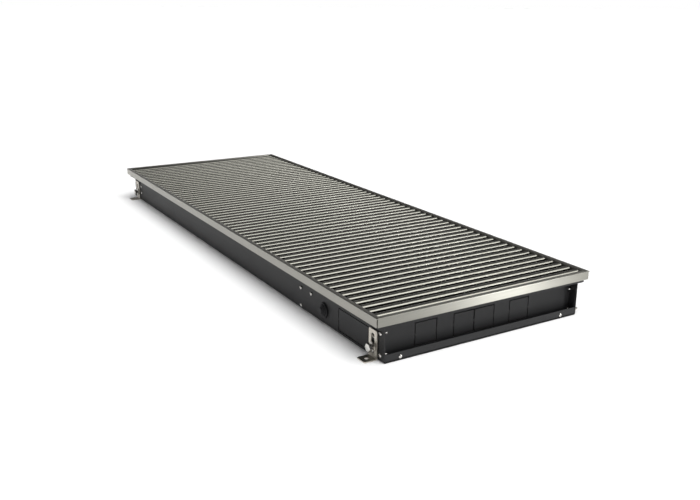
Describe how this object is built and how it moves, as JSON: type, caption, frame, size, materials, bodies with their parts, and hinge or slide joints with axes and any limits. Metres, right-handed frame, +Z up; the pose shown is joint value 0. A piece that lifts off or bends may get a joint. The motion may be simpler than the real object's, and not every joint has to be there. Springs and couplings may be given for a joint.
{
  "type": "trench convector heater",
  "caption": "Floor-recessed trench convector: black trough, mitred aluminium frame, roll-up bar grille, finned exchanger, tangential fan, levelling feet.",
  "frame": {"origin": "middle of the rectangle that the four foot plates stand on, on their underside", "axes": "+X across the trough away from the side with the cable grommet, +Y along it away from the connection end, +Z up"},
  "size_m": [0.4518, 1.272, 0.08],
  "materials": {
    "black_powder_coat": "fine-textured matt powder coat",
    "frame_aluminium": "satin natural anodised",
    "grille_aluminium": "natural anodised, semi-bright",
    "corner_key": "dark die-casting",
    "black_rubber": "matt moulded",
    "bright_zinc": "bright zinc plate",
    "bracket_zinc": "zinc plate, satin",
    "fin_aluminium": "mill finish sheet",
    "copper_tube": null,
    "brass_casting": "cast and machined",
    "galvanised_sheet": "hot-dip galvanised",
    "box_plastic": "moulded, fine texture",
    "motor_grey": "moulded, grey"
  },
  "bodies": {
    "casing": {"trough": "black_powder_coat", "end_plate_near": "black_powder_coat", "end_plate_far": "black_powder_coat", "end_sill_near": "black_powder_coat", "end_sill_far": "black_powder_coat", "spreader_bar": "black_powder_coat", "frame_near": "frame_aluminium", "frame_right": "frame_aluminium", "frame_far": "frame_aluminium", "frame_left": "frame_aluminium", "corner_key_near_left": "corner_key", "corner_key_near_right": "corner_key", "corner_key_far_right": "corner_key", "corner_key_far_left": "corner_key", "grille_rest_strip_left": "black_rubber", "grille_rest_strip_right": "black_rubber", "cable_grommet": "black_rubber", "bearing_bushing_near": "black_rubber", "bearing_bushing_far": "black_rubber", "end_plate_screw_near_left_1": "bright_zinc", "end_plate_screw_near_left_2": "bright_zinc", "end_plate_screw_near_right_1": "bright_zinc", "end_plate_screw_near_right_2": "bright_zinc", "end_plate_screw_far_left_1": "bright_zinc", "end_plate_screw_far_left_2": "bright_zinc", "end_plate_screw_far_right_1": "bright_zinc", "end_plate_screw_far_right_2": "bright_zinc", "fan_screw_near_1": "bright_zinc", "fan_screw_near_2": "bright_zinc", "fan_screw_far_1": "bright_zinc", "fan_screw_far_2": "bright_zinc", "control_box_screw": "bright_zinc", "clamp_bolt_near_left": "bright_zinc", "clamp_bolt_near_right": "bright_zinc", "clamp_bolt_far_left": "bright_zinc", "clamp_bolt_far_right": "bright_zinc", "fin_pack": "fin_aluminium", "copper_hairpin": "copper_tube", "connection_block": "brass_casting", "union_nut_supply": "brass_casting", "union_nut_return": "brass_casting", "exchanger_bracket_near": "galvanised_sheet", "exchanger_bracket_far": "galvanised_sheet", "fan_scroll": "galvanised_sheet", "fan_tongue": "galvanised_sheet", "fan_end_plate_near": "galvanised_sheet", "fan_end_plate_far": "galvanised_sheet", "control_box": "box_plastic", "fan_motor": "motor_grey", "control_box_lid": "motor_grey"},
    "grille": {"roll_up_grille": "grille_aluminium"},
    "fan_rotors": {"fan_rotor_near": "fin_aluminium", "fan_rotor_far": "fin_aluminium"},
    "air_vent": {"air_vent_screw": "bright_zinc"},
    "foot_near_left": {"foot_bracket_near_left": "bracket_zinc"},
    "foot_near_right": {"foot_bracket_near_right": "bracket_zinc"},
    "foot_far_left": {"foot_bracket_far_left": "bracket_zinc"},
    "foot_far_right": {"foot_bracket_far_right": "bracket_zinc"}
  },
  "joints": [
    {"name": "grille_lift", "type": "slide", "parent": "casing", "child": "grille", "axis": [0, 0, 1], "range_m": [0, 0.12]},
    {"name": "fan_spin", "type": "hinge", "parent": "casing", "child": "fan_rotors", "pos_m": [-0.1628, 0, 0.034], "axis": [0, 1, 0], "continuous": true},
    {"name": "air_vent_turn", "type": "hinge", "parent": "casing", "child": "air_vent", "pos_m": [0.12, -0.36, 0.05], "axis": [0, 0, 1], "range_deg": [0, 360]},
    {"name": "foot_near_left_height", "type": "slide", "parent": "casing", "child": "foot_near_left", "axis": [0, 0, 1], "range_m": [-0.018, 0.004]},
    {"name": "foot_near_right_height", "type": "slide", "parent": "casing", "child": "foot_near_right", "axis": [0, 0, 1], "range_m": [-0.018, 0.004]},
    {"name": "foot_far_left_height", "type": "slide", "parent": "casing", "child": "foot_far_left", "axis": [0, 0, 1], "range_m": [-0.018, 0.004]},
    {"name": "foot_far_right_height", "type": "slide", "parent": "casing", "child": "foot_far_right", "axis": [0, 0, 1], "range_m": [-0.018, 0.004]}
  ]
}
